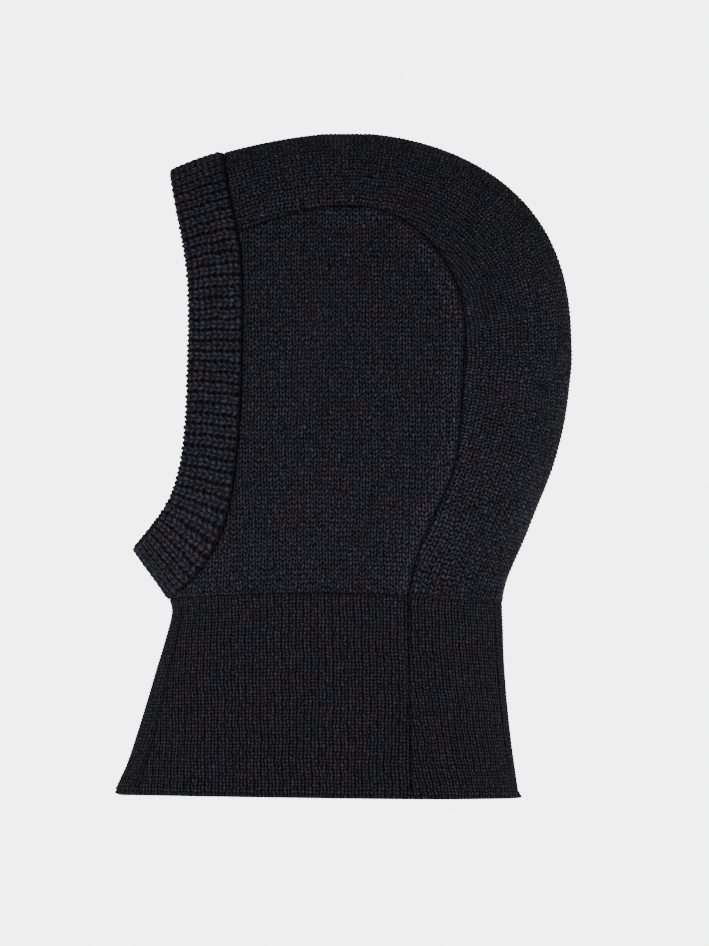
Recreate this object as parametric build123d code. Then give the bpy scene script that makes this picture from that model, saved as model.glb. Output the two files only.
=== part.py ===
from build123d import *
import os
from math import cos, radians, sin

os.makedirs("parts", exist_ok=True)

# Knitted balaclava, front toward -Y, up along +Z, hem on z = 0, wearer's left on +X.
# All lengths in mm.

FABRIC = 3.2            # one layer of the heavy knit
TRIM_OUT = 1.4          # the folded face band stands this far proud outside
TRIM_IN = 1.8           # and this far proud inside
BAND = 3.4              # width of the linking band on the inside of every seam
BAND_RISE = 1.7         # how far it stands in from the fabric
BAND_GAP = 0.2          # left free where two bands meet
SEAM_LEAN = 1.5         # how far the gusset seam leans back within the neck band's width
CROWN_Z = 400.76        # where the dome would close; it is cut flat just below
REACH = 260             # longer than any half of the hood, for cutting tools

# level, front of the closed head form, back, half width
PROFILE = [
    (-30, -149, 109, 65.5),
    (0, -137, 105, 61),
    (40, -124, 99.5, 55.5),
    (80, -112, 96, 51.5),
    (110, -103.5, 95, 50),
    (119, -104.5, 95, 50.5),
    (134, -114.5, 98.5, 53),
    (151, -126.5, 106, 57),
    (172, -139, 114.5, 61),
    (200, -150, 125.5, 63.5),
    (230, -157, 133, 65),
    (262, -159, 136.8, 65.5),
]
WAIST_Z = 200           # a level well inside the head
STRIP_STATIONS = 24     # points that carry a seam band along its curve
LEVEL_STEP = 12         # between levels below the widest one
DOME_STEP = 5.25        # degrees between levels of the dome above it
DOME_LEVELS = 16
DOME_FRONT = (1.5, 4.0)     # powers of depth and height in the side view, ahead of the middle
DOME_BACK = (2.0, 2.75)     # and behind it; two powers of 2 would be a plain oval

# outlines in the side view, (y, z), each running past the silhouette at its free ends
FACE_EDGE = [(-108, 396), (-102.5, 362), (-95, 318), (-94.5, 262), (-97.5, 212),
             (-106, 180), (-122, 157), (-142, 133)]
TRIM_SEAM = [(-75.5, 404), (-70, 369), (-63, 335), (-61, 297), (-62, 245),
             (-66.5, 191), (-79, 149), (-98, 126), (-116, 110)]
GUSSET_SEAM = [(-100, 321), (-62.5, 341), (-20, 354), (24, 353.5), (56, 330), (72, 293),
               (71.5, 255), (64.5, 194), (46, 152), (38.5, 121)]
GUSSET_SEAM_FOOT = (40, -30)
NECK_SEAM_TOP = (-18, 124)  # the neck seam's highest point, it bows down from here
NECK_SEAM_BOW = 0.0005      # and this much, per mm squared


def neck_seam_z(y):
    """Height of the neck seam at one station."""
    return NECK_SEAM_TOP[1] - NECK_SEAM_BOW * (y - NECK_SEAM_TOP[0]) ** 2


def yz(points):
    """Points of the side view as points of the middle plane."""
    return [Vector(0, y, z) for y, z in points]


def profile_at(z):
    """The profile at one level, a smooth curve through its rows."""
    last = len(PROFILE) - 2
    i = min(max(k for k in range(last + 1) if PROFILE[k][0] <= z), last)
    low, high = PROFILE[i], PROFILE[i + 1]
    before, after = PROFILE[max(i - 1, 0)], PROFILE[i + 2] if i < last else high
    run = high[0] - low[0]
    t = (z - low[0]) / run
    row = [z]
    for k in (1, 2, 3):
        rise = run * (high[k] - before[k]) / (high[0] - before[0])
        fall = run * (after[k] - low[k]) / (after[0] - low[0])
        row.append(low[k] * (1 + 2 * t) * (1 - t) ** 2 + rise * t * (1 - t) ** 2
                   + high[k] * (3 - 2 * t) * t ** 2 - fall * (1 - t) * t ** 2)
    return tuple(row)


def dome_shrink(rise, powers):
    """How much shallower the dome is at a share of its height than at its foot."""
    return (1 - rise ** powers[1]) ** (1 / powers[0])


def dome_level(turn):
    """One level of the dome, turn degrees up from the widest level."""
    z, front, back, half = PROFILE[-1]
    rise = sin(radians(turn))
    return (z + (CROWN_Z - z) * rise, front * dome_shrink(rise, DOME_FRONT),
            back * dome_shrink(rise, DOME_BACK), half * cos(radians(turn)))


def levels():
    """Every level the closed form is lofted through."""
    foot, widest = PROFILE[0][0], PROFILE[-1][0]
    count = round((widest - foot) / LEVEL_STEP)
    lower = [profile_at(foot + (widest - foot) * i / count) for i in range(count + 1)]
    return lower + [dome_level(DOME_STEP * (i + 1)) for i in range(DOME_LEVELS)]


def level_wire(level, grow):
    """One level of the head form, two half ovals, grown outward by grow."""
    z, front, back, half = level
    widest = PROFILE[-1][0]
    if z > widest:
        z += grow * (z - widest) / (CROWN_Z - widest)
    plane = Plane.XY.offset(z)
    ahead = Edge.make_ellipse(half + grow, grow - front, plane, 180, 360)
    behind = Edge.make_ellipse(half + grow, back + grow, plane, 0, 180)
    return Wire([behind, ahead])


def head_form(grow=0.0):
    """The closed form the hood is stretched over, grown outward by grow."""
    return Solid.make_loft([level_wire(level, grow) for level in levels()])


def through(edges):
    """A closed side-view outline pushed right through the hood along X."""
    return extrude(Face(Wire(edges)), REACH / 2, dir=(1, 0, 0), both=True)


def ahead_of(points):
    """Everything in front of a side-view curve listed from the top down."""
    line = Edge.make_spline(yz(points))
    corners = yz([points[-1], (-REACH, points[-1][1]), (-REACH, points[0][1]), points[0]])
    return through([line] + [Edge.make_line(a, b) for a, b in zip(corners, corners[1:])])


def below_neck_seam():
    """Everything below the neck seam."""
    points = [(y, neck_seam_z(y)) for y in range(-200, 201, 40)]
    line = Edge.make_spline(yz(points))
    corners = yz([points[-1], (200, -50), (-200, -50), points[0]])
    return through([line] + [Edge.make_line(a, b) for a, b in zip(corners, corners[1:])])


def inside_gusset_seam():
    """Everything in front of and below the gusset seam, down to the hem."""
    line = Edge.make_spline(yz(GUSSET_SEAM))
    corners = yz([GUSSET_SEAM[-1], GUSSET_SEAM_FOOT, (-REACH, GUSSET_SEAM_FOOT[1]),
                  (-REACH, GUSSET_SEAM[0][1]), GUSSET_SEAM[0]])
    return through([line] + [Edge.make_line(a, b) for a, b in zip(corners, corners[1:])])


def strip_along(points, near, far):
    """A band beside a side-view curve, from near to far on its left-hand side, through the hood."""
    line = Edge.make_spline(yz(points))
    shares = [i / STRIP_STATIONS for i in range(STRIP_STATIONS + 1)]
    across = [Vector(0, -(line % share).Z, (line % share).Y) for share in shares]
    one = [line @ share + side * near for share, side in zip(shares, across)]
    other = [line @ share + side * far for share, side in zip(shares, across)]
    ends = [Edge.make_line(one[-1], other[-1]), Edge.make_line(other[0], one[0])]
    return through([Edge.make_spline(one), ends[0], Edge.make_spline(other[::-1]), ends[1]])


def middle_slab():
    """A thin upright slab on the middle plane, in front of the wearer and below the face."""
    return Pos(0, -REACH / 2, 0) * Box(BAND, REACH, 2 * WAIST_Z)


def gusset_seam_band():
    """The linking band of the left gusset seam, forehead to hem."""
    neck_part = [(38.9, 90), (39.4, 50), (39.8, 10), GUSSET_SEAM_FOOT]
    zone = strip_along(GUSSET_SEAM[:-1] + neck_part, -BAND / 2, BAND / 2)
    clear_of_trim = Pos(0, BAND + BAND_GAP, 0) * before_trim_seam
    return ((lining & zone) - clear_of_trim) & left & above_hem


def face_seam_band():
    """The linking band behind the trim, from chin to chin over the forehead."""
    band = (lining & strip_along(TRIM_SEAM, 0, BAND)) - before_trim_seam
    return band - (Pos(0, 0, BAND) * under_neck_seam)


def neck_seam_band():
    """The linking band all round the neck seam."""
    half = BAND / 2
    band = (lining & (Pos(0, 0, half) * under_neck_seam)) - (Pos(0, 0, -half) * under_neck_seam)
    return band - before_trim_seam


def chin_seam_band():
    """The linking band where the trim's two ends meet under the chin."""
    trim_lining = trim_inner - head_form(-FABRIC - TRIM_IN - BAND_RISE)
    return trim_lining & middle_slab() & trim_zone


def neck_front_band():
    """The linking band of the centre front neck seam."""
    return lining & middle_slab() & under_neck_seam & above_hem


def mirrored(solid):
    """The wearer's right twin of a left piece."""
    return solid.mirror(Plane.YZ)


def save(node, solid):
    """Write one piece as its own file."""
    whole = solid.solids()
    print(node, len(whole), "solid", round(solid.volume), "mm3", solid.is_valid)
    export_step(max(whole, key=lambda one: one.volume), f"parts/{node}.step")


outer = head_form()
inner = head_form(-FABRIC)
trim_outer = head_form(TRIM_OUT)
trim_inner = head_form(-FABRIC - TRIM_IN)
left = Pos(REACH / 2, 0, 150) * Box(REACH, 3 * REACH, 900)
above_hem = Pos(0, 0, 300) * Box(2 * REACH, 3 * REACH, 600)
face_hole = ahead_of(FACE_EDGE)
before_trim_seam = ahead_of(TRIM_SEAM)
under_neck_seam = below_neck_seam()
within_gusset_seam = inside_gusset_seam()

hood = (outer - inner) & above_hem
neck = hood & under_neck_seam
panels = hood - under_neck_seam - before_trim_seam
gusset = panels - within_gusset_seam
side = panels & within_gusset_seam & left
neck_side = neck & within_gusset_seam & left
neck_back = neck - within_gusset_seam
trim_zone = before_trim_seam - face_hole - under_neck_seam
trim = (trim_outer - trim_inner) & trim_zone

lining = inner - head_form(-FABRIC - BAND_RISE)
gusset_seam = gusset_seam_band()
neck_band = neck_seam_band()
clear = BAND / 2 + BAND_GAP
seam_station = GUSSET_SEAM[-1][0]
before_gusset_seam = Pos(clear, seam_station - clear - REACH, 0) * Box(
    REACH, 2 * REACH, 2 * REACH, align=(Align.MIN, Align.CENTER, Align.CENTER))
behind_gusset_seam = Pos(0, seam_station + clear + SEAM_LEAN + REACH, 0) * Box(
    REACH, 2 * REACH, 2 * REACH)
neck_seam_side = neck_band & before_gusset_seam
neck_seam_back = neck_band & behind_gusset_seam

save("side_panel_left", side)
save("side_panel_right", mirrored(side))
save("crown_gusset", gusset)
save("face_trim", trim)
save("neck_side_left", neck_side)
save("neck_side_right", mirrored(neck_side))
save("neck_back", neck_back)
save("gusset_seam_left", gusset_seam)
save("gusset_seam_right", mirrored(gusset_seam))
save("neck_seam_left", neck_seam_side)
save("neck_seam_right", mirrored(neck_seam_side))
save("neck_seam_back", neck_seam_back)
save("face_seam", face_seam_band())
save("chin_seam", chin_seam_band())
save("neck_front_seam", neck_front_band())
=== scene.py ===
import math

import bpy
import numpy as np
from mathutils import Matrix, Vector
from mathutils.bvhtree import BVHTree
from mathutils.kdtree import KDTree


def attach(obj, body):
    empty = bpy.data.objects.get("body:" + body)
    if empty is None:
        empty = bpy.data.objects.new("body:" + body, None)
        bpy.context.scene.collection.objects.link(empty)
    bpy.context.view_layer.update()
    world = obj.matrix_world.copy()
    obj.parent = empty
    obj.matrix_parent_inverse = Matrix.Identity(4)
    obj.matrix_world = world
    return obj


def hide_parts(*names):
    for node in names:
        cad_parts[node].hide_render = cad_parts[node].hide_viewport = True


# Knitted balaclava. Every panel is a knitted sheet laid over its CAD node, with its wales and
# courses standing up from it. All lengths in metres, in the frame of the CAD.

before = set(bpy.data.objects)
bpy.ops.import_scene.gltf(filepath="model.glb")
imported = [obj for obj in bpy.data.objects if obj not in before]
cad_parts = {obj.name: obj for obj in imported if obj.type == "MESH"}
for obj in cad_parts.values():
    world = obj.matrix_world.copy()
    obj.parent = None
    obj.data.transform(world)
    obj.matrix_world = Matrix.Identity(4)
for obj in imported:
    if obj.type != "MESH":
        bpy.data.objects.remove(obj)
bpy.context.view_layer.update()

FABRIC = 0.0032         # one knitted layer
FAR = 1.0               # rays start this far out
OFF_MIDDLE = 0.0002     # rays along the middle plane run this far beside it
CLEAR = 0.0001          # step aside that keeps a ray off the very edge of a face or a seam
OFF_FLOOR = 0.0003      # rays at the hem run at least this far above the floor
MIDDLE_Z = 0.2          # height of the whole hood's middle
HEAD_MIDDLE_Z = 0.26    # height of the head's middle

# stitch sizes: wale pitch, course pitch
SIDE_STITCH = (0.0037, 0.0028)
CROWN_STITCH = (0.0051, 0.0026)
NECK_STITCH = (0.0044, 0.0021)
TRIM_STITCH = (0.0062, 0.0037)

# from one point to the next, in wales and in courses
SIDE_STEPS = (1 / 6, 1 / 3)
CROWN_STEPS = (1 / 4, 1 / 3.5)
NECK_STEPS = (1 / 8, 1 / 3)
INSIDE_COARSER = 2.5    # the same on the inside, times this

# seams in the side view, (y, z), as they are in the CAD
FACE_EDGE = [(-0.108, 0.396), (-0.1025, 0.362), (-0.095, 0.318), (-0.0945, 0.262),
             (-0.0975, 0.212), (-0.106, 0.180), (-0.122, 0.157), (-0.142, 0.133)]
TRIM_SEAM = [(-0.0755, 0.404), (-0.070, 0.369), (-0.063, 0.335), (-0.061, 0.297), (-0.062, 0.245),
             (-0.0665, 0.191), (-0.079, 0.149), (-0.098, 0.126), (-0.116, 0.110)]
GUSSET_SEAM = [(-0.100, 0.321), (-0.0625, 0.341), (-0.020, 0.354), (0.024, 0.3535),
               (0.056, 0.330), (0.072, 0.293), (0.0715, 0.255), (0.0645, 0.194),
               (0.046, 0.152), (0.0385, 0.121)]
GUSSET_FOOT_Y = 0.040   # where the gusset seam meets the hem
CORNER_Z = 0.3405       # where it meets the trim seam
NAPE_Y = 0.0386         # where it meets the neck seam


def neck_seam_z(y):
    """Height of the neck seam at one station."""
    return 0.124 - 0.5 * (y + 0.018) ** 2


def smooth_curve(points, count):
    """Points of a natural cubic spline through side-view points, evenly spaced by length."""
    knots = np.array(points, float)
    n = len(knots)
    t = np.concatenate([[0], np.cumsum(np.linalg.norm(np.diff(knots, axis=0), axis=1))])
    h = np.diff(t)
    left, right = np.eye(n), np.zeros((n, 2))
    for i in range(1, n - 1):
        left[i, i - 1:i + 2] = h[i - 1], 2 * (h[i - 1] + h[i]), h[i]
        right[i] = 6 * ((knots[i + 1] - knots[i]) / h[i] - (knots[i] - knots[i - 1]) / h[i - 1])
    bend = np.linalg.solve(left, right)
    at = np.linspace(0, t[-1], count)
    i = np.clip(np.searchsorted(t, at, side="right") - 1, 0, n - 2)
    gap = h[i][:, None]
    after = (at - t[i])[:, None]
    before = gap - after
    return ((bend[i] * before ** 3 + bend[i + 1] * after ** 3) / (6 * gap)
            + (knots[i] / gap - bend[i] * gap / 6) * before
            + (knots[i + 1] / gap - bend[i + 1] * gap / 6) * after)


TRIM_CURVE = smooth_curve(TRIM_SEAM, 600)


def trim_seam_y(z):
    """Where the trim seam is at one height, or at several."""
    return np.interp(z, TRIM_CURVE[::-1, 1], TRIM_CURVE[::-1, 0])


def gusset_line_y(share):
    """Where the gusset seam crosses the neck, at a share of the way up from the hem."""
    top = GUSSET_SEAM[-1][0]
    return top + (GUSSET_FOOT_Y - top) * (1 - share)


def lengths(points):
    """Distance along a row of points, from its first."""
    return np.concatenate([[0], np.cumsum(np.linalg.norm(np.diff(points, axis=0), axis=1))])


def spread(points, at):
    """Points of a polyline at given distances along it."""
    along = lengths(points)
    return np.stack([np.interp(at, along, points[:, k]) for k in range(points.shape[1])], axis=1)


def smoothed(values, span):
    """Values with their steps evened out over a span, ends kept."""
    window = np.hanning(2 * span + 1)
    window /= window.sum()
    head = 2 * values[0] - values[span:0:-1]
    tail = 2 * values[-1] - values[-2:-span - 2:-1]
    return np.convolve(np.concatenate([head, values, tail]), window, "valid")


def even_out(values, span):
    """Rising values smoothed over a span, and still rising."""
    return np.maximum.accumulate(smoothed(values, span))


# ---- the CAD surfaces ----

class Skin:
    """The outer skin of some CAD nodes, found by rays."""

    def __init__(self, *nodes):
        points, faces = [], []
        for node in nodes:
            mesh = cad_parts[node].data
            start = len(points)
            points += [v.co.copy() for v in mesh.vertices]
            faces += [[start + i for i in p.vertices] for p in mesh.polygons]
        self.tree = BVHTree.FromPolygons(points, faces)

    def x_at(self, y, z):
        """How far out on the wearer's left the skin is at y, z."""
        best = 0.0
        for nudge in (0.0, CLEAR):
            hit = self.tree.ray_cast(Vector((FAR, y + nudge, z + nudge)), Vector((-1, 0, 0)))[0]
            if hit is not None:
                best = max(best, hit.x)
        return best

    def from_outside(self, centre, direction):
        """The skin's point seen from outside, looking back along direction at centre."""
        centre, direction = Vector(centre), Vector(direction)
        return self.tree.ray_cast(centre + direction * FAR, -direction)[0]

    def nearest(self, point):
        """The skin's point nearest to a point."""
        return np.array(self.tree.find_nearest(Vector(point))[0])


# ---- knitted relief, as heights from 0 to 1 over a smooth cloth ----

def wander(u, v, seed):
    """The uneven pull of hand-tensioned yarn: smooth drift of the stitches, in stitches."""
    drift = np.zeros_like(u)
    draw = np.random.default_rng(seed)
    for size, strength in ((0.09, 0.09), (0.27, 0.06), (0.8, 0.04), (1.9, 0.03)):
        for _ in range(4):
            turn, start = draw.uniform(0, 2 * np.pi, 2)
            drift += strength / 2 * np.sin(size * (u * np.cos(turn) + v * np.sin(turn)) * 2 + start)
    return drift


def hand_knit(u, v):
    """Stitch coordinates pulled out of line, more along the wales than across them."""
    return u + wander(u, v, 3), v + 1.6 * wander(u, v, 7)


def from_centre(u):
    """Distance from the middle of a wale, 0, to its edge, 1."""
    return np.abs((u + 0.5) % 1.0 - 0.5) * 2


def plain_knit(u, v):
    """Plain knit: two leaning legs to a wale, one V above the other."""
    across = from_centre(u)
    leg = np.sin(np.pi * across) ** 0.8
    loop = 1 - np.abs(2 * ((v - 0.6 * across) % 1.0) - 1) ** 2.2
    return np.maximum(leg, 0.25) * (0.3 + 0.7 * loop)


def rib_knit(u, v):
    """One by one rib: raised wales of two legs, with a deep valley between wales."""
    across = from_centre(u)
    body = np.sqrt(np.clip(1 - across ** 3, 0, 1))
    split = 1 - 0.4 * np.exp(-(across / 0.22) ** 2)
    loop = 1 - np.abs(2 * ((v - 0.5 * across) % 1.0) - 1) ** 2.2
    return body * split * (0.35 + 0.65 * loop)


def purl_back(u, v):
    """The inside of plain knit: low bumps in offset rows."""
    row = 0.5 + 0.5 * np.cos(2 * np.pi * v)
    bump = 0.5 + 0.5 * np.cos(2 * np.pi * u + np.pi * np.floor(v))
    return 0.5 * row + 0.35 * bump


# ---- meshes from rows of points ----

def zip_rows(low, high, at_low, at_high):
    """Triangles between two rows of vertex numbers, matched by their positions along the row."""
    faces = []
    i = j = 0
    while i < len(low) - 1 or j < len(high) - 1:
        step_low = at_low[i + 1] if i < len(low) - 1 else math.inf
        step_high = at_high[j + 1] if j < len(high) - 1 else math.inf
        if i < len(low) - 1 and j < len(high) - 1 and abs(step_low - step_high) < 1e-9:
            faces.append((low[i], low[i + 1], high[j + 1], high[j]))
            i += 1
            j += 1
        elif step_low <= step_high:
            faces.append((low[i], low[i + 1], high[j]))
            i += 1
        else:
            faces.append((low[i], high[j + 1], high[j]))
            j += 1
    return faces


def row_stations(first, last, step):
    """The row's two ends and every multiple of step between them that isn't close to an end."""
    near_end = 0.35 * step
    inner = np.arange(math.ceil((first + near_end) / step), math.floor((last - near_end) / step) + 1)
    return np.concatenate([[first], inner * step, [last]])


class Layer:
    """One face of a panel: rows of points, each with its place along wales and courses."""

    def __init__(self):
        self.points, self.knit, self.rows, self.at, self.faces = [], [], [], [], []
        self.flipped = False

    def add_row(self, points, us, v, wales=None):
        """Adds a row at course height v. us place its points along the row, and wales in the knit."""
        start = len(self.points)
        ids = list(range(start, start + len(points)))
        self.points += [tuple(float(c) for c in p) for p in points]
        self.knit += [(float(u), float(v)) for u in (us if wales is None else wales)]
        if self.rows:
            self.faces += zip_rows(self.rows[-1], ids, self.at[-1], list(us))
        self.rows.append(ids)
        self.at.append(list(us))

    def rim(self):
        """The four sides as lists of vertex numbers, all the way round."""
        right = [row[-1] for row in self.rows]
        left = [row[0] for row in self.rows][::-1]
        return [self.rows[0], right, self.rows[-1][::-1], left]

    def from_rim(self, *sides):
        """Distance of every point from some sides: first row 0, right 1, last row 2, left 3."""
        rim = self.rim()
        on_rim = sorted({i for side in sides for i in rim[side]})
        tree = KDTree(len(on_rim))
        for k, i in enumerate(on_rim):
            tree.insert(self.points[i], k)
        tree.balance()
        return np.array([tree.find(p)[2] for p in self.points])


def join_rims(outer, inner, shift):
    """Faces between the rims of two layers, side by side."""
    faces = []
    for one, other in zip(outer, inner):
        other = [i + shift for i in other]
        at_one = np.linspace(0, 1, len(one)).tolist()
        at_other = np.linspace(0, 1, len(other)).tolist()
        faces += zip_rows(one, other, at_one, at_other)
    return faces


def smooth_normals(points, faces):
    """Vertex normals of a layer before its relief is raised."""
    mesh = bpy.data.meshes.new("scratch")
    mesh.from_pydata([tuple(p) for p in points], [], faces)
    mesh.update()
    normals = np.empty(len(points) * 3, np.float32)
    mesh.vertices.foreach_get("normal", normals)
    bpy.data.meshes.remove(mesh)
    return normals.reshape(-1, 3)


def panel_mesh(name, outer, inner, stitch, relief, materials):
    """A closed knitted sheet from an outer and an inner layer, each raised by its relief.

    relief gives the height of every point of the outer layer, and its painted shading: 1 for
    painted shade in a seam, 0 on plain knit and below 0 for a painted highlight on stitches that
    catch the light.
    """
    points, painted_shadings, knits = [], [], []
    for inside, layer in enumerate((outer, inner)):
        smooth = np.array(layer.points)
        place = np.array(layer.knit)
        u, v = hand_knit(place[:, 0] / stitch[0], place[:, 1] / stitch[1])
        # each point's height and its painted shading: painted shade in seams, painted highlight below 0
        high, painted_shading = purl_relief(u, v) if inside else relief(layer, u, v, place[:, 1])
        normals = smooth_normals(layer.points, layer.faces)
        points.append(smooth + normals * (-high if inside else high)[:, None])
        painted_shadings.append(painted_shading)
        knits.append(np.stack([u, v], axis=1))
    for side in points:
        side[:, 2] = np.maximum(side[:, 2], 0)
    shift = len(outer.points)
    faces = outer.faces + [tuple(i + shift for i in face[::-1]) for face in inner.faces]
    walls = join_rims(outer.rim(), inner.rim(), shift)
    faces += walls if outer.flipped else [face[::-1] for face in walls]
    inner_faces = range(len(outer.faces), len(outer.faces) + len(inner.faces))
    return finish_mesh(name, np.concatenate(points), faces, np.concatenate(knits),
                       np.concatenate(painted_shadings), materials, inner_faces)


def finish_mesh(name, points, faces, knit, painted_shading, materials, second=()):
    """A smooth-shaded object with its stitch coordinates and painted shading stored on it.

    second lists the faces that have the second material.
    """
    mesh = bpy.data.meshes.new(name)
    mesh.from_pydata(points.tolist(), [], faces)
    mesh.update()
    mesh.shade_smooth()
    corners = np.empty(len(mesh.loops), np.int32)
    mesh.loops.foreach_get("vertex_index", corners)
    stitch = mesh.uv_layers.new(name="stitch")
    stitch.data.foreach_set("uv", knit[corners].astype(np.float32).ravel())
    # painted shading for the wool's colour: painted shade in seams, painted highlight below 0
    painted_shadings = mesh.attributes.new("painted_shading", "FLOAT", "POINT")
    painted_shadings.data.foreach_set("value", painted_shading.astype(np.float32))
    for material in materials:
        mesh.materials.append(material)
    for i in second:
        mesh.polygons[i].material_index = 1
    obj = bpy.data.objects.new(name, mesh)
    bpy.context.scene.collection.objects.link(obj)
    return obj


def near(distance, width):
    """1 on a line, falling to 0 over width either side of it."""
    return np.exp(-(distance / width) ** 2)


# ---- materials ----

class Graph:
    """Short ways to add nodes to a material and join them."""

    def __init__(self, material):
        material.use_nodes = True
        self.nodes, self.links = material.node_tree.nodes, material.node_tree.links

    def node(self, kind, output, values):
        """A node with its inputs set from numbers or joined to other nodes' outputs."""
        made = self.nodes.new(kind)
        for name, value in values.items():
            if isinstance(value, bpy.types.NodeSocket):
                self.links.new(value, made.inputs[name])
            else:
                made.inputs[name].default_value = value
        return made, made.outputs[output]

    def math(self, operation, *values):
        """One step of arithmetic."""
        made, result = self.node("ShaderNodeMath", 0, dict(enumerate(values)))
        made.operation = operation
        return result

    def noise(self, place, scale, detail):
        """Smooth noise from 0 to 1."""
        values = {"Vector": place, "Scale": scale, "Detail": detail}
        return self.node("ShaderNodeTexNoise", "Fac", values)[1]

    def map(self, value, low, high, to_low, to_high):
        """value's range from low to high, turned into to_low to to_high."""
        values = {"Value": value, "From Min": low, "From Max": high, "To Min": to_low, "To Max": to_high}
        return self.node("ShaderNodeMapRange", "Result", values)[1]

    def bump(self, height, strength, distance, under=None):
        """A normal raised by a height in metres, on top of another bump."""
        values = {"Height": height, "Strength": strength, "Distance": distance}
        if under is not None:
            values["Normal"] = under
        return self.node("ShaderNodeBump", "Normal", values)[1]

    def dimmed(self, colour, amount):
        """A colour made darker or lighter by an amount."""
        made = self.nodes.new("ShaderNodeVectorMath")
        made.operation = "SCALE"
        self.links.new(colour, made.inputs[0])
        self.links.new(amount, made.inputs[3])
        return made.outputs[0]

    def mix(self, share, one, other):
        """Colour mix, one at share 0 and other at 1."""
        made = self.nodes.new("ShaderNodeMix")
        made.data_type = "RGBA"
        for i, value in ((0, share), (6, one), (7, other)):
            if isinstance(value, bpy.types.NodeSocket):
                self.links.new(value, made.inputs[i])
            else:
                made.inputs[i].default_value = value
        return made.outputs[2]


def across_wale(graph, u):
    """Distance from the middle of a wale, 0, to its edge, 1, as a node."""
    part = graph.math("FRACT", graph.math("ADD", u, 0.5))
    return graph.math("MULTIPLY", graph.math("ABSOLUTE", graph.math("SUBTRACT", part, 0.5)), 2.0)


def loop_height(graph, v, across, lean, low):
    """Swell of each loop along its wale, from low to 1."""
    phase = graph.math("FRACT", graph.math("MULTIPLY_ADD", across, -lean, v))
    off = graph.math("ABSOLUTE", graph.math("MULTIPLY_ADD", phase, 2.0, -1.0))
    swell = graph.math("SUBTRACT", 1.0, graph.math("POWER", off, 2.2))
    return graph.math("MULTIPLY_ADD", swell, 1 - low, low)


def legs(graph, across, valley):
    """Two round legs to a wale, with a valley this wide, in wales, between one wale and the next."""
    inside = graph.math("MINIMUM", graph.math("MULTIPLY", across, 1 / (1 - valley)), 1.0)
    return graph.math("SINE", graph.math("MULTIPLY", inside, math.pi))


def valley_bumps(graph, v, height):
    """The purl bumps at the bottom of a valley, halfway between the loops beside it."""
    phase = graph.math("FRACT", graph.math("ADD", v, 0.5))
    off = graph.math("ABSOLUTE", graph.math("MULTIPLY_ADD", phase, 2.0, -1.0))
    return graph.math("MULTIPLY", graph.math("SUBTRACT", 1.0, off), height)


def plain_stitch(graph, u, v):
    """Plain knit seen from its right side."""
    across = across_wale(graph, u)
    leg = graph.math("MULTIPLY_ADD", legs(graph, across, 0.04), 0.74, 0.26)
    return graph.math("MULTIPLY", leg, loop_height(graph, v, across, 0.75, 0.0))


def fine_rib_stitch(graph, u, v):
    """The neck's rib: two narrow legs and a tight valley."""
    across = across_wale(graph, u)
    body = graph.math("MULTIPLY_ADD", across, -0.08, 0.08)
    leg = graph.math("MULTIPLY_ADD", legs(graph, across, 0.05), 0.95, body)
    rib = graph.math("MULTIPLY", leg, loop_height(graph, v, across, 0.4, 0.28))
    return graph.math("MAXIMUM", rib, valley_bumps(graph, v, 0.28))


def bold_rib_stitch(graph, u, v):
    """The trim's rib: two broad leaning legs and an open valley."""
    across = across_wale(graph, u)
    body = graph.math("MULTIPLY_ADD", across, -0.35, 0.35)
    leg = graph.math("MULTIPLY_ADD", legs(graph, across, 0.08), 0.8, body)
    rib = graph.math("MULTIPLY", leg, loop_height(graph, v, across, 0.55, 0.28))
    return graph.math("MAXIMUM", rib, valley_bumps(graph, v, 0.45))


def purl_stitch(graph, u, v):
    """The back of plain knit."""
    row = graph.math("SINE", graph.math("MULTIPLY", v, 2 * math.pi))
    shift = graph.math("MULTIPLY", graph.math("FLOOR", v), math.pi)
    bump = graph.math("SINE", graph.math("MULTIPLY_ADD", u, 2 * math.pi, shift))
    both = graph.math("MULTIPLY_ADD", row, 0.3, graph.math("MULTIPLY", bump, 0.2))
    return graph.math("ADD", both, 0.5)


BLUE_BLACK = (0.0104, 0.0107, 0.0150)
PLUM_BLACK = (0.0124, 0.0103, 0.0143)
# painted shade: the near black given to the holes between stitches and to the seam grooves
HOLE_SHADE = (0.0006, 0.0006, 0.0014)
YARN_SHADE = (0.0015, 0.0015, 0.0025)
YARN_LIGHT = (0.007, 0.007, 0.010)


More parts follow.
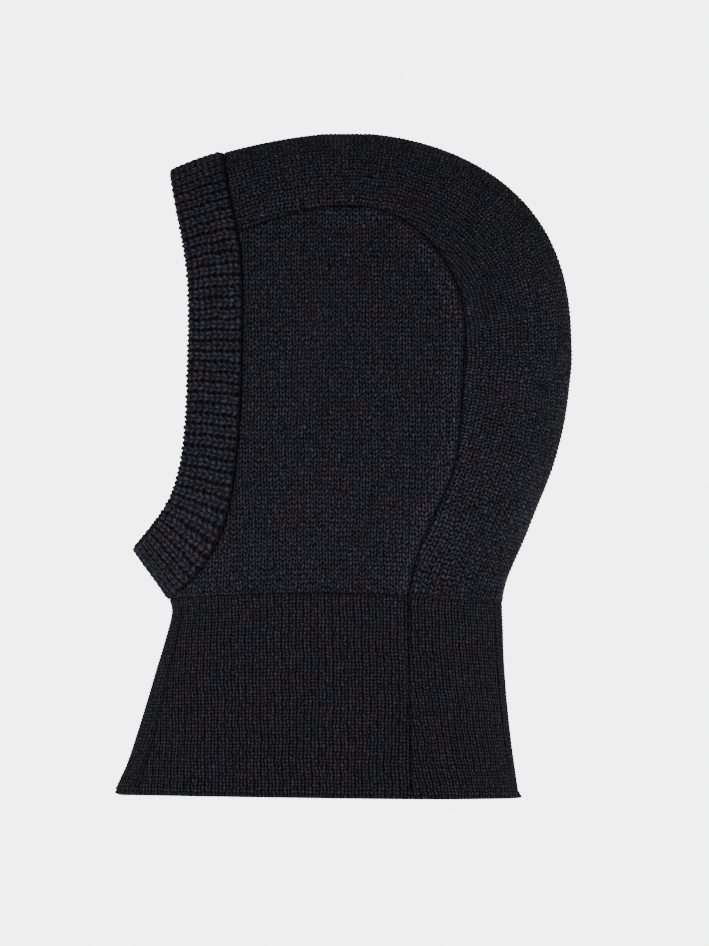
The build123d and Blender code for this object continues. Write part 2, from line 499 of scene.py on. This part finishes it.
def wool(name, stitch, rise, plies, tone, plum_from, unruly):
    """Matt wool in one kind of stitch: black painted shade in the holes, paler painted highlight on the
    loops, hairy all over.

    rise is the height of a loop in metres, plies the twist of the yarn, plum_from how rare its plum
    patches are and unruly how far a leg strays sideways, in wales.
    """
    material = bpy.data.materials.new(name)
    graph = Graph(material)
    shader = graph.nodes["Principled BSDF"]
    for socket, value in (("Roughness", 0.9), ("Specular IOR Level", 0.025)):
        shader.inputs[socket].default_value = value
    object_place = graph.nodes.new("ShaderNodeTexCoord").outputs["Object"]
    knit = graph.nodes.new("ShaderNodeUVMap")
    knit.uv_map = "stitch"
    parts = graph.node("ShaderNodeSeparateXYZ", "X", {"Vector": knit.outputs["UV"]})[0]
    jog = graph.noise(object_place, 420, 2)
    u = graph.math("ADD", parts.outputs["X"], graph.map(jog, 0.3, 0.7, -unruly, unruly))
    other_jog = graph.noise(object_place, 310, 2)
    v = graph.math("ADD", parts.outputs["Y"], graph.map(other_jog, 0.3, 0.7, -0.24, 0.24))
    height = stitch(graph, u, v)

    patches = graph.noise(object_place, 75, 4)
    plum = graph.map(patches, plum_from, plum_from + 0.2, 0.0, 1.0)
    tint = graph.mix(plum, (*BLUE_BLACK, 1), (*PLUM_BLACK, 1))
    fibres = graph.noise(object_place, 1300, 3)
    uneven = graph.noise(object_place, 430, 3)
    flecks = graph.map(fibres, 0.35, 0.7, 0.65, 1.65)
    tone_and_loop_highlight = graph.math("MULTIPLY", flecks, graph.map(uneven, 0.3, 0.7, 0.6, 1.55))
    # painted highlight and shade: colour lighter on high loops, darker low in the stitch, on top of
    # random fleck tone
    tone_and_loop_highlight = graph.math("MULTIPLY", tone_and_loop_highlight, graph.map(height, 0.3, 1.0, 0.44, 1.92))
    painted_shading = graph.nodes.new("ShaderNodeAttribute")
    painted_shading.attribute_name = "painted_shading"
    # painted highlight: tone up to doubled where the painted shading is below 0, on wales beside a seam
    raised = graph.map(painted_shading.outputs["Fac"], -1.0, 0.0, 2 * tone, tone)
    loops = graph.dimmed(tint, graph.math("MULTIPLY", tone_and_loop_highlight, raised))
    # painted shade: low parts of each stitch and the seam grooves blended to the hole shade colour
    painted_shade_mask = graph.map(height, 0.1, 0.6, 1.0, 0.0)
    painted_shade_mask = graph.math("MAXIMUM", painted_shade_mask, graph.math("MULTIPLY", painted_shading.outputs["Fac"], 0.85))
    graph.links.new(graph.mix(painted_shade_mask, loops, (*HOLE_SHADE, 1)), shader.inputs["Base Color"])

    slant = graph.math("MULTIPLY_ADD", u, 2.2 * plies, graph.math("MULTIPLY", v, plies))
    twist = graph.bump(graph.math("SINE", slant), 0.3, 0.00025)
    hair = graph.bump(fibres, 0.8, 0.0006, twist)
    graph.links.new(graph.bump(height, 1.0, rise, hair), shader.inputs["Normal"])
    return material


def yarn(name):
    """The linking yarn: a darker, tighter twist."""
    material = bpy.data.materials.new(name)
    graph = Graph(material)
    shader = graph.nodes["Principled BSDF"]
    shader.inputs["Roughness"].default_value = 0.9
    shader.inputs["Specular IOR Level"].default_value = 0.1
    object_place = graph.nodes.new("ShaderNodeTexCoord").outputs["Object"]
    fibres = graph.noise(object_place, 1500, 3)
    share = graph.map(fibres, 0.35, 0.7, 0.0, 1.0)
    colour = graph.mix(share, (*YARN_SHADE, 1), (*YARN_LIGHT, 1))
    graph.links.new(colour, shader.inputs["Base Color"])
    graph.links.new(graph.bump(fibres, 0.7, 0.0004), shader.inputs["Normal"])
    return material


side_wool = wool("side_wool", plain_stitch, 0.0009, 16, 0.54, 0.42, 0.14)
crown_wool = wool("crown_wool", plain_stitch, 0.0009, 16, 0.515, 0.42, 0.14)
neck_wool = wool("neck_wool", fine_rib_stitch, 0.0010, 14, 0.49, 0.34, 0.09)
trim_wool = wool("trim_wool", bold_rib_stitch, 0.0013, 22, 0.47, 0.4, 0.11)
purl_wool = wool("purl_wool", purl_stitch, 0.0006, 14, 0.9, 0.42, 0.14)
linking_yarn = yarn("linking_yarn")


# ---- laying the panels over the CAD ----

FRONT_STRIP = (0.017, 0.029)    # ribs along the neck's front edge: width at the top and at the hem
NAPE_GROOVE = 0.0157            # fold line either side of the neck's middle back
HEM_RISE = 0.0030               # lift of the hem at the centre front
HEM_RISE_Y = (0.095, -0.137)    # where the lift starts, and the centre front
CORNER_FLARE = 0.0022           # outward curl of the hem at the centre front
FLARE_HEIGHT = 0.013            # how far up the curl reaches
FLARE_REACH = 0.018             # how far back it reaches
CHAIN = 0.0022                  # height of the hem's bound-off chain

hood_skin = Skin("side_panel_left", "crown_gusset", "neck_side_left", "neck_back")
trim_skin = Skin("face_trim")


def inner_layer(build, step_u, step_v):
    """The same panel with fewer points, moved in by one thickness of knit."""
    layer = build(step_u, step_v)
    points = np.array(layer.points)
    normals = smooth_normals(points, layer.faces)
    layer.points = list(points - normals * FABRIC)
    return layer


def dress(obj, node):
    """Attaches a knitted sheet to the root and hides the CAD node that it stands for."""
    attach(obj, "root")
    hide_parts(node)


def side_rows(step_u, step_v):
    """Rows of the left side panel: wales upright, courses bowing with the neck seam."""
    wale, course = SIDE_STITCH
    gusset = smooth_curve(GUSSET_SEAM, 600)
    peak = int(np.argmax(gusset[:, 1]))
    top = gusset[peak, 1] - 0.0004
    foot = neck_seam_z(0.0)
    front_leg = gusset[:peak + 1]
    back_leg = gusset[peak:][::-1]
    layer = Layer()
    count = int(round((top - foot) / (course * step_v)))
    for k in range(count + 1):
        share = k / count
        level = foot + (top - foot) * share

        def height(y):
            """Height of this course at one station."""
            return level + (neck_seam_z(y) - foot) * (1 - share) ** 2

        def crossing(curve, guess):
            """Where this course meets a curve."""
            y = guess
            for _ in range(4):
                y = float(np.interp(height(y), curve[:, 1], curve[:, 0]))
            return y

        front = crossing(TRIM_CURVE[::-1], -0.08)
        if level > front_leg[0, 1]:
            front = max(front, crossing(front_leg, -0.05))
        back = crossing(back_leg, 0.05)
        ys = row_stations(front, back, wale * step_u)
        points = [(hood_skin.x_at(y, height(y)), y, height(y)) for y in ys]
        layer.add_row(points, ys, level)
    return layer


END_REACH = 0.022       # rows turn this near the crown's ends
BOW_REACH = 0.025       # and bow with the trim seam this near the forehead
CROWN_POINTS = 64       # points on half a row before it is divided into stitches


def crown_middle():
    """The crown's middle line, (y, z), from the trim seam over the top to the neck seam."""
    beside = OFF_MIDDLE / 4
    middle = []
    for turn in np.linspace(math.radians(119), math.radians(-60), 700):
        hit = hood_skin.from_outside((beside, 0, HEAD_MIDDLE_Z), (0, math.cos(turn), math.sin(turn)))
        if hit is not None and hit.z > neck_seam_z(hit.y):
            middle.append((hit.y, hit.z))
    y = middle[-1][0]
    for _ in range(4):
        z = neck_seam_z(y) + CLEAR
        y = hood_skin.from_outside((beside, 0, z), (0, 1, 0)).y
    middle.append((y, z))
    return np.array([p for p in middle if p[0] > trim_seam_y(p[1])])


def crown_feet(spine, stations):
    """Where each row of the crown ends on the gusset seam, from the face corner to the nape.

    A row runs square to the middle line, but near the two ends it turns to meet the corner or the nape.
    """
    gusset = smooth_curve(GUSSET_SEAM, 900)
    corner = np.array([float(trim_seam_y(CORNER_Z)), CORNER_Z])
    nape = np.array([NAPE_Y, neck_seam_z(NAPE_Y)])
    lie = np.gradient(spine, axis=0)
    inward = np.stack([lie[:, 1], -lie[:, 0]], axis=1)
    inward /= np.linalg.norm(inward, axis=1)[:, None]
    ends = [(stations[0], corner - spine[0]), (stations[-1], nape - spine[-1])]
    seam_at = lengths(gusset)
    feet = []
    for k, at in enumerate(stations):
        way = inward[k].copy()
        for end, toward in ends:
            weight = math.exp(-((at - end) / END_REACH) ** 2)
            way = way * (1 - weight) + toward / np.linalg.norm(toward) * weight
        way /= np.linalg.norm(way)
        across = np.cross(gusset - spine[k], way)
        ahead = (gusset - spine[k]) @ way
        swaps = [i for i in range(len(across) - 1)
                 if across[i] * across[i + 1] <= 0 and 0.02 < ahead[i] < 0.1]
        if swaps:
            i = min(swaps, key=lambda j: ahead[j])
            t = across[i] / (across[i] - across[i + 1])
            feet.append(float(seam_at[i] + t * (seam_at[i + 1] - seam_at[i])))
        else:
            feet.append(feet[-1] if feet else 0.0)
    feet = even_out(np.array(feet), int((len(spine) - 1) / 5))
    first = seam_at[int(np.argmin(np.linalg.norm(gusset - corner, axis=1)))]
    last = seam_at[int(np.argmin(np.linalg.norm(gusset - nape, axis=1)))]
    feet = first + (feet - feet[0]) * (last - first) / (feet[-1] - feet[0])
    return spread(gusset, feet)


def crown_rows(step_u, step_v):
    """Rows of the crown gusset: each runs square to the middle line, seam to seam."""
    wale, course = CROWN_STITCH
    middle = crown_middle()
    total = lengths(middle)[-1]
    count = int(round(total / (course * step_v)))
    stations = [total * k / count for k in range(count + 1)]
    spine = spread(middle, np.linspace(0, total, count + 1))
    feet = crown_feet(spine, stations)
    shares = np.linspace(0, 1, CROWN_POINTS)
    start_y = trim_seam_y(np.linspace(spine[0, 1], CORNER_Z, CROWN_POINTS))
    bow = np.interp(shares ** 2, shares, start_y - np.linspace(spine[0, 0], start_y[-1], 64))
    layer = Layer()
    for k, at in enumerate(stations):
        line = spine[k] + (feet[k] - spine[k]) * (shares ** 2)[:, None]
        line[:, 0] += bow * math.exp(-(at / BOW_REACH) ** 2)
        half = np.array([(hood_skin.x_at(*p), p[0], p[1]) for p in line])
        half[0, 0] = 0
        long = lengths(half)[-1]
        us = row_stations(-long, long, wale * step_u)
        points = spread(half, np.abs(us))
        points[:, 0] *= np.sign(us)
        layer.add_row(points, us, at)
    return layer


def hem_height(y):
    """Height of the hem, which rises a little toward the front."""
    start, front = HEM_RISE_Y
    return HEM_RISE * max(0.0, (start - y) / (start - front))


def neck_height(y, share):
    """Height of a neck course at one station, from the hem to the neck seam."""
    return hem_height(y) + (neck_seam_z(y) - hem_height(y)) * share


def neck_row(way, share, count):
    """Half a neck course, from the middle of the front, way -1, or back, way 1, to the gusset line."""
    level = max(neck_height(0.1 * way, share), OFF_FLOOR)
    middle = hood_skin.from_outside((OFF_MIDDLE, 0, level), (0, way, 0)).y
    ys = middle + (gusset_line_y(share) - middle) * np.linspace(0, 1, count) ** 2
    zs = [min(max(neck_height(y, share), OFF_FLOOR), neck_seam_z(y) - CLEAR) for y in ys]
    row = np.array([(hood_skin.x_at(y, z), y, z) for y, z in zip(ys, zs)])
    row[0, 0] = 0
    row[:, 2] = [neck_height(y, share) for y in ys]
    return row


def neck_side_rows(step_u, step_v):
    """Rows of the left neck side, from the centre front round to the gusset seam."""
    rib, course = NECK_STITCH
    height = neck_seam_z(0.0)
    count = int(round(height / (course * step_v)))
    layer = Layer()
    layer.strip = []
    for k in range(count + 1):
        share = k / count
        row = neck_row(-1, share, 150)
        from_front = row[:, 1] - row[0, 1]
        up = row[:, 2] - HEM_RISE
        row[:, 1] -= CORNER_FLARE * near(up, FLARE_HEIGHT) * near(from_front, FLARE_REACH)
        long = lengths(row)[-1]
        us = row_stations(-long, 0, rib * step_u)
        strip = FRONT_STRIP[0] + (FRONT_STRIP[1] - FRONT_STRIP[0]) * (1 - share)
        wales = np.where(us + long < strip, us + long - strip, us)
        layer.add_row(spread(row, us + long), us, height * share, wales)
        layer.strip += [float(abs(u + long - strip)) for u in us]
    return layer


def neck_back_rows(step_u, step_v):
    """Rows of the neck back, from gusset seam to gusset seam."""
    rib, course = NECK_STITCH
    height = neck_seam_z(0.0)
    count = int(round(height / (course * step_v)))
    layer = Layer()
    for k in range(count + 1):
        share = k / count
        half = neck_row(1, share, 90)
        long = lengths(half)[-1]
        us = row_stations(-long, long, rib * step_u)
        points = spread(half, np.abs(us))
        points[:, 0] *= -np.sign(us)
        layer.add_row(points, us, height * share)
    return layer


# ---- the panels ----

SEAM_SINK = 0.0011      # how deep the knit is pulled in beside a seam
QUIET_SINK = 0.0004     # and where only the stitch changes
RIDGE_WIDTH = 0.0022    # half width of a wale that stands up beside a seam, and of a painted highlight beside one


def purl_relief(u, v):
    """The inside of every panel."""
    return 0.0005 * purl_back(u, v) - 0.0002, np.zeros_like(u)


def plain_relief(seam, quiet, u, v):
    """Plain knit that sinks deep beside its seams and a little along its quiet edge, with painted shade
    in both.
    """
    high = 0.0009 * plain_knit(u, v) - SEAM_SINK * near(seam, 0.0012) - QUIET_SINK * near(quiet, 0.001)
    # painted shade along the seams and along the quiet edge
    return high, np.maximum(0.8 * near(seam, 0.0011), 0.6 * near(quiet, 0.0009))


def side_relief(layer, u, v, climb):
    """Plain knit, with two wales standing up beside the gusset seam and a painted highlight on them."""
    high, painted_shading = plain_relief(layer.from_rim(1, 2, 3), layer.from_rim(0), u, v)
    gusset = layer.from_rim(1, 2)
    ridge = near(gusset - 0.0048, RIDGE_WIDTH) + 0.6 * near(gusset - 0.0110, RIDGE_WIDTH)
    # the two wales are raised and given a painted highlight
    return high + 0.0004 * ridge, painted_shading - 0.35 * ridge


def crown_relief(layer, u, v, climb):
    """Plain knit, with a painted highlight on one wale beside the gusset seam."""
    high, painted_shading = plain_relief(layer.from_rim(0, 1, 3), layer.from_rim(2), u, v)
    # painted highlight on one wale beside the gusset seam
    return high, painted_shading - 0.2 * near(layer.from_rim(1, 3) - 0.0045, RIDGE_WIDTH)


def neck_relief(layer, u, v, climb):
    """Rib, closed below by the chain of the bound-off hem.

    The ribs of the front strip merge into the others, and the back has a fold line either side of
    its middle and a knot at its hem. Painted shade darkens its seam grooves, the merge and fold
    lines, the quiet edge and the top of the chain.
    """
    seam, quiet = layer.from_rim(1, 3), layer.from_rim(2)
    grooves = near(seam, 0.0008) * (0.8 + 0.2 * np.sin(1.9 * v + np.sin(0.7 * v)))
    if hasattr(layer, "strip"):
        merge = near(np.array(layer.strip), 0.0011) * (0.7 + 0.3 * np.cos(np.pi * v))
        knot = 0.0
    else:
        aside = np.abs(np.array(layer.knit)[:, 0])
        merge = 0.9 * near(aside - NAPE_GROOVE, 0.0010)
        knot = 0.0022 * near(aside, 0.0022) * near(climb - 0.001, 0.0022)
    chain = np.sqrt(np.clip(1 - ((climb - 0.0011) / 0.0013) ** 2, 0, 1))
    chain = 0.0009 * chain * (0.8 + 0.2 * np.cos(4 * np.pi * u)) - 0.0006
    rib = 0.0008 * rib_knit(u, v) + 0.0001 - SEAM_SINK * grooves - 0.0007 * merge
    rib -= QUIET_SINK * near(quiet, 0.001)
    # painted shade in the seam grooves, the merge and fold lines and along the quiet edge
    painted_shading = np.maximum(np.maximum(grooves, 0.85 * merge), 0.55 * near(quiet, 0.0009))
    in_chain = climb < CHAIN
    # painted shade along the top of the hem's chain
    painted_shading = np.where(in_chain, 0.35 * near(climb - CHAIN, 0.0006), painted_shading)
    return np.where(in_chain, chain, rib) + knot, painted_shading


def mirrored_layer(layer):
    """The wearer's right twin of a left layer."""
    twin = Layer()
    twin.points = [(-p[0], p[1], p[2]) for p in layer.points]
    twin.knit = layer.knit
    if hasattr(layer, "strip"):
        twin.strip = layer.strip
    twin.rows, twin.at = layer.rows, layer.at
    twin.faces = [face[::-1] for face in layer.faces]
    twin.flipped = True
    return twin


def build_panel(name, rows, steps, stitch, relief, material, hands=(1,)):
    """One knitted sheet, or its left and right twins."""
    outer = rows(*steps)
    inner = inner_layer(rows, steps[0] * INSIDE_COARSER, steps[1] * INSIDE_COARSER)
    made = []
    for hand in hands:
        pair = (outer, inner) if hand > 0 else (mirrored_layer(outer), mirrored_layer(inner))
        ending = {1: "_left", -1: "_right"}[hand] if len(hands) > 1 else ""
        made.append(panel_mesh(name + ending, *pair, stitch, relief, (material, purl_wool)))
    return made


# ---- the face trim: a rib band folded double ----

TRIM_THICK = 0.0062     # the folded band, both layers
RIB_SAMPLES = 9         # sections to a rib
FACE_SAMPLES = 30       # points across the outside of the band
FOLD_SAMPLES = 10       # points round its fold
FOLD_MIDDLE = FACE_SAMPLES + (FOLD_SAMPLES - 1) / 2


def trim_line(points, nudge):
    """A side-view curve as a line on the trim's left half, chin first, both ends on the middle."""
    curve = smooth_curve(points, 5000)[::-1]
    line = []
    for y, z in curve:
        if z >= neck_seam_z(y) + CLEAR:
            x = trim_skin.x_at(y + nudge, z)
            if x > 0.0005:
                line.append((x, y, z))
    first, last = line[0], line[-1]
    return np.array([(0, first[1] - 0.0008, first[2])] + line + [(0, last[1], last[2] + 0.0006)])


def matching_line(edge, seam):
    """For each point of the edge line its partner on the seam line, straight across the band."""
    tree = KDTree(len(seam))
    for k, p in enumerate(seam):
        tree.insert(p, k)
    tree.balance()
    along = lengths(seam)
    at = np.array([along[tree.find(p)[1]] for p in edge])
    share = lengths(edge) / lengths(edge)[-1]
    ends = np.exp(-(share / 0.07) ** 2) + np.exp(-((1 - share) / 0.07) ** 2)
    at = at * (1 - ends) + share * along[-1] * ends
    at = even_out(at, 30)
    at = (at - at[0]) * along[-1] / (at[-1] - at[0])
    return spread(seam, at)


def build_trim():
    """The folded band as one closed ring: outside, round the fold, inside and back."""
    edge = trim_line(FACE_EDGE, 0.0004)
    seam = trim_line(TRIM_SEAM, -0.0004)
    stations = int(round(lengths(edge)[-1] / (TRIM_STITCH[0] / RIB_SAMPLES)))
    edge = spread(edge, np.linspace(0, lengths(edge)[-1], stations + 1))
    seam = matching_line(edge, seam)
    lie = np.gradient(edge, axis=0)
    radius = TRIM_THICK / 2
    outside_shares = np.linspace(0, 1, FACE_SAMPLES)
    fold_turns = np.linspace(0, math.pi, FOLD_SAMPLES + 2)[1:-1]
    sections, places = [], []
    for k in range(stations + 1):
        over = edge[k] - seam[k]
        out = np.cross(over, lie[k])
        out *= np.sign(out[0]) if abs(out[0]) > 1e-6 else 1
        if k in (0, stations):
            out[0] = 0
            if out @ (edge[k] - np.array([0, 0, HEAD_MIDDLE_Z])) < 0:
                out = -out
        out /= np.linalg.norm(out)
        width = np.linalg.norm(over)
        way = over / width
        line = [seam[k] + over * share * (1 - radius / width) for share in outside_shares]
        face = [trim_skin.nearest(p + out * 0.005) for p in line]
        if k in (0, stations):
            face = [np.array([0, p[1], p[2]]) for p in face]
        pivot = face[-1] - out * radius
        fold = [pivot + radius * (out * math.cos(t) + way * math.sin(t)) for t in fold_turns]
        back = [p - out * TRIM_THICK for p in face[::-2]]
        tuck = [face[0] - way * 0.0018 - out * depth for depth in (0.0044, 0.0020)]
        section = np.array(face + fold + back + tuck)
        sections.append(section)
        places.append(lengths(section))
    return sections, places, lengths(edge)


def ring_faces(total, size):
    """Faces of a closed ring of sections, each a closed loop of size points."""
    faces = []
    for k in range(total):
        one, other = k * size, (k + 1) % total * size
        for j in range(size):
            i = (j + 1) % size
            faces.append((one + j, one + i, other + i, other + j))
    return faces


def trim_mesh():
    """The face trim, its two halves joined on the middle plane."""
    rib, course = TRIM_STITCH
    sections, places, along = build_trim()
    count = len(sections)
    half = along[-1]
    size = len(sections[0])
    ring = [(sections[k], places[k], along[k] - half, 1) for k in range(count)]
    ring += [(sections[k], places[k], half - along[k], -1) for k in range(count - 2, 0, -1)]
    points = np.concatenate([s * np.array([hand, 1, 1]) for s, _, _, hand in ring])
    us = np.concatenate([np.full(size, at) for _, _, at, _ in ring]) / rib
    vs = np.concatenate([p for _, p, _, _ in ring]) / course
    total = len(ring)
    faces = ring_faces(total, size)
    normals = smooth_normals(points, faces)
    by_section = points.reshape(total, size, 3)
    outward = by_section[:, 5] - by_section.mean(1)
    if np.sum(normals.reshape(total, size, 3)[:, 5] * outward) < 0:
        faces = [face[::-1] for face in faces]
        normals = -normals
    u, v = hand_knit(us, vs)
    # a painted shade line down the middle of the chin, where the two halves meet
    chin = near(points[:, 0], 0.0012) * (points[:, 2] < MIDDLE_Z)
    from_seam = np.concatenate([np.minimum(p, p[-1] - p) for _, p, _, _ in ring])
    seam = near(from_seam, 0.0012)
    at_fold = np.tile(near(np.arange(size) - FOLD_MIDDLE, 5), total)
    high = 0.0014 * rib_knit(u, v) - 0.0003 - 0.0010 * seam + 0.0009 * at_fold * np.cos(4 * np.pi * u)
    # painted shade along the trim seam and down the middle of the chin
    return finish_mesh("rib_face_trim", points + normals * high[:, None], faces,
                       np.stack([u, v], axis=1), np.maximum(0.8 * seam, 0.8 * chin), (trim_wool,))


# ---- the seams: linking yarn worked through the edges of the panels ----

PLY = 0.0009            # radius of one of the yarn's two plies
PLY_SIDES = 7
YARN_STEP = 0.0009      # from one section of a ply to the next
YARN_DEPTH = 0.0038     # how deep its middle lies under the outer face
TURN = 0.0050           # one whole twist

# where each yarn starts and ends
GUSSET_YARN_START_Y = -0.0635
GUSSET_YARN_FOOT_Z = 0.0016
NECK_YARN_Y = (-0.099, 0.037)
BACK_YARN_Y = (0.0925, 0.041)   # its middle and its ends
FRONT_YARN_Z = (0.0050, 0.1185)
CHIN_YARN = ((0, -0.1255, 0.1530), (0, -0.1030, 0.1215))
CHIN_YARN_DEPTH = 0.0032


def sunk(line, depth):
    """A line moved towards the middle of the hood."""
    moved = []
    for x, y, z in line:
        way = np.array([0, 0, min(z, HEAD_MIDDLE_Z)]) - np.array([x, y, z])
        moved.append(np.array([x, y, z]) + way / np.linalg.norm(way) * depth)
    return np.array(moved)


def side_line(curve, skin):
    """Side-view points as points on the wearer's left of a skin."""
    return np.array([(skin.x_at(y, z), y, z) for y, z in curve])


def yarn_mesh(name, line, node):
    """Two plies twisted round a line."""
    total = lengths(line)[-1]
    count = int(total / YARN_STEP)
    axis = spread(line, np.linspace(0, total, count + 1))
    axis = np.stack([smoothed(axis[:, k], 4) for k in range(3)], axis=1)
    lie = np.gradient(axis, axis=0)
    lie /= np.linalg.norm(lie, axis=1)[:, None]
    out = axis - np.array([0, 0, MIDDLE_Z])
    side = np.cross(lie, out)
    side /= np.linalg.norm(side, axis=1)[:, None]
    up = np.cross(side, lie)
    points, faces, knit = [], [], []
    turns = 2 * math.pi * np.arange(PLY_SIDES) / PLY_SIDES
    for ply in (0, math.pi):
        start = len(points)
        for k in range(count + 1):
            angle = ply + 2 * math.pi * total * k / count / TURN
            middle = axis[k] + 0.8 * PLY * (side[k] * math.cos(angle) + up[k] * math.sin(angle))
            for turn in turns:
                points.append(middle + PLY * (side[k] * math.cos(turn) + up[k] * math.sin(turn)))
                knit.append((turn / math.pi, 400 * total * k / count))
        for k in range(count):
            one, other = start + k * PLY_SIDES, start + (k + 1) * PLY_SIDES
            for i in range(PLY_SIDES):
                j = (i + 1) % PLY_SIDES
                faces.append((one + i, one + j, other + j, other + i))
        last = start + count * PLY_SIDES
        faces.append(tuple(range(start, start + PLY_SIDES))[::-1])
        faces.append(tuple(range(last, last + PLY_SIDES)))
    plain = np.zeros(len(points))
    obj = finish_mesh(name, np.array(points), faces, np.array(knit), plain, (linking_yarn,))
    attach(obj, "root")
    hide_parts(node)


def link_seams():
    """Every seam's yarn, from the face to the hem."""
    flip = np.array([-1, 1, 1])
    gusset = np.concatenate([smooth_curve(GUSSET_SEAM, 500), [[GUSSET_FOOT_Y, GUSSET_YARN_FOOT_Z]]])
    gusset = gusset[gusset[:, 0] > GUSSET_YARN_START_Y]
    gusset = sunk(side_line(gusset, hood_skin), YARN_DEPTH)
    ys = np.linspace(*NECK_YARN_Y, 200)
    neck = sunk(side_line([(y, neck_seam_z(y)) for y in ys], hood_skin), YARN_DEPTH)
    for name, line in (("gusset", gusset), ("neck", neck)):
        for hand, turned in (("left", line), ("right", line * flip)):
            yarn_mesh("yarn_%s_%s" % (name, hand), turned, "%s_seam_%s" % (name, hand))
    middle_y, end_y = BACK_YARN_Y
    ys = middle_y - (middle_y - end_y) * np.linspace(0, 1, 120)[::-1] ** 2
    half = side_line([(y, neck_seam_z(y) - 0.0002) for y in ys], hood_skin)
    half = half[half[:, 0] > 0.001]
    back = sunk(np.concatenate([half, half[::-1] * flip]), YARN_DEPTH)
    yarn_mesh("yarn_neck_back", back, "neck_seam_back")
    rim = trim_line(TRIM_SEAM, -0.0004)
    rim = sunk(np.concatenate([rim, rim[-2::-1] * flip]), YARN_DEPTH)
    yarn_mesh("yarn_face", rim, "face_seam")
    chin = np.linspace(*CHIN_YARN, 40)
    yarn_mesh("yarn_chin", sunk(chin, CHIN_YARN_DEPTH), "chin_seam")
    levels = np.linspace(*FRONT_YARN_Z, 120)
    front = [hood_skin.from_outside((OFF_MIDDLE, 0, z), (0, -1, 0)) for z in levels]
    yarn_mesh("yarn_neck_front", sunk([(0, p.y, p.z) for p in front], YARN_DEPTH), "neck_front_seam")


link_seams()
sides = build_panel("knit_side", side_rows, SIDE_STEPS, SIDE_STITCH, side_relief, side_wool, (1, -1))
crown = build_panel("knit_crown", crown_rows, CROWN_STEPS, CROWN_STITCH, crown_relief, crown_wool)
neck_sides = build_panel("rib_neck_side", neck_side_rows, NECK_STEPS, NECK_STITCH, neck_relief,
                         neck_wool, (1, -1))
neck_back = build_panel("rib_neck_back", neck_back_rows, NECK_STEPS, NECK_STITCH, neck_relief, neck_wool)
face_trim = trim_mesh()
for obj, hand in zip(sides, ("left", "right")):
    dress(obj, "side_panel_" + hand)
dress(crown[0], "crown_gusset")
for obj, hand in zip(neck_sides, ("left", "right")):
    dress(obj, "neck_side_" + hand)
dress(neck_back[0], "neck_back")
dress(face_trim, "face_trim")


# ---- stage, light and camera ----

PAPER_GLOW = 5.0        # the floor's own light, so that it shows as a plain pale sheet
SKY_LOW = 5.2           # the sky at the horizon, as pale as the floor
SKY_HIGH = 1.9          # and overhead
SKY_FADE = (0.04, 0.14) # between these heights on a sky of radius 1
# name, place, width and power
LAMPS = (("key", (1.5, -1.1, 2.0), 0.7, 22), ("fill", (1.8, 1.5, 1.2), 1.2, 4))


def pale_floor():
    """A plain pale floor, far wider than any view of it."""
    reach = 12.0
    corners = [(-reach, -reach, 0), (reach, -reach, 0), (reach, reach, 0), (-reach, reach, 0)]
    sheet = bpy.data.meshes.new("floor")
    sheet.from_pydata(corners, [], [(0, 1, 2, 3)])
    floor = bpy.data.objects.new("floor", sheet)
    bpy.context.scene.collection.objects.link(floor)
    paper = bpy.data.materials.new("paper")
    paper.use_nodes = True
    shader = paper.node_tree.nodes["Principled BSDF"]
    shader.inputs["Base Color"].default_value = (0.12, 0.12, 0.12, 1)
    shader.inputs["Roughness"].default_value = 1.0
    shader.inputs["Specular IOR Level"].default_value = 0.0
    shader.inputs["Emission Color"].default_value = (1, 1, 1, 1)
    shader.inputs["Emission Strength"].default_value = PAPER_GLOW
    sheet.materials.append(paper)


def pale_sky():
    """Soft light from all round, brightest at the horizon."""
    world = bpy.data.worlds.new("studio")
    bpy.context.scene.world = world
    world.use_nodes = True
    sky = world.node_tree
    spot = sky.nodes.new("ShaderNodeTexCoord")
    parts = sky.nodes.new("ShaderNodeSeparateXYZ")
    fade = sky.nodes.new("ShaderNodeMapRange")
    for name, value in zip(("From Min", "From Max", "To Min", "To Max"), (*SKY_FADE, SKY_LOW, SKY_HIGH)):
        fade.inputs[name].default_value = value
    sky.links.new(spot.outputs["Generated"], parts.inputs["Vector"])
    sky.links.new(parts.outputs["Z"], fade.inputs["Value"])
    sky.nodes["Background"].inputs["Color"].default_value = (1, 1, 1, 1)
    sky.links.new(fade.outputs["Result"], sky.nodes["Background"].inputs["Strength"])


def lamps():
    """A broad key light and a weak fill, both turned to the middle of the hood."""
    for name, place, size, power in LAMPS:
        light = bpy.data.lights.new(name, "AREA")
        light.shape = "DISK"
        light.size = size
        light.energy = power
        lamp = bpy.data.objects.new(name, light)
        lamp.location = place
        aim = Vector((0, 0, MIDDLE_Z)) - Vector(place)
        lamp.rotation_euler = aim.to_track_quat("-Z", "Y").to_euler()
        bpy.context.scene.collection.objects.link(lamp)


def camera():
    """Square on to the wearer's left side, through a long lens."""
    height_seen = 0.5707
    middle_y, middle_z = 0.0063, 0.1961
    lens, sensor = 600, 36
    camera_data = bpy.data.cameras.new("camera")
    camera_data.lens = lens
    camera_data.sensor_width = sensor
    eye = bpy.data.objects.new("camera", camera_data)
    eye.location = (height_seen * lens / sensor, middle_y, middle_z)
    eye.rotation_euler = (math.pi / 2, 0, math.pi / 2)
    bpy.context.scene.collection.objects.link(eye)
    bpy.context.scene.camera = eye


pale_floor()
pale_sky()
lamps()
camera()
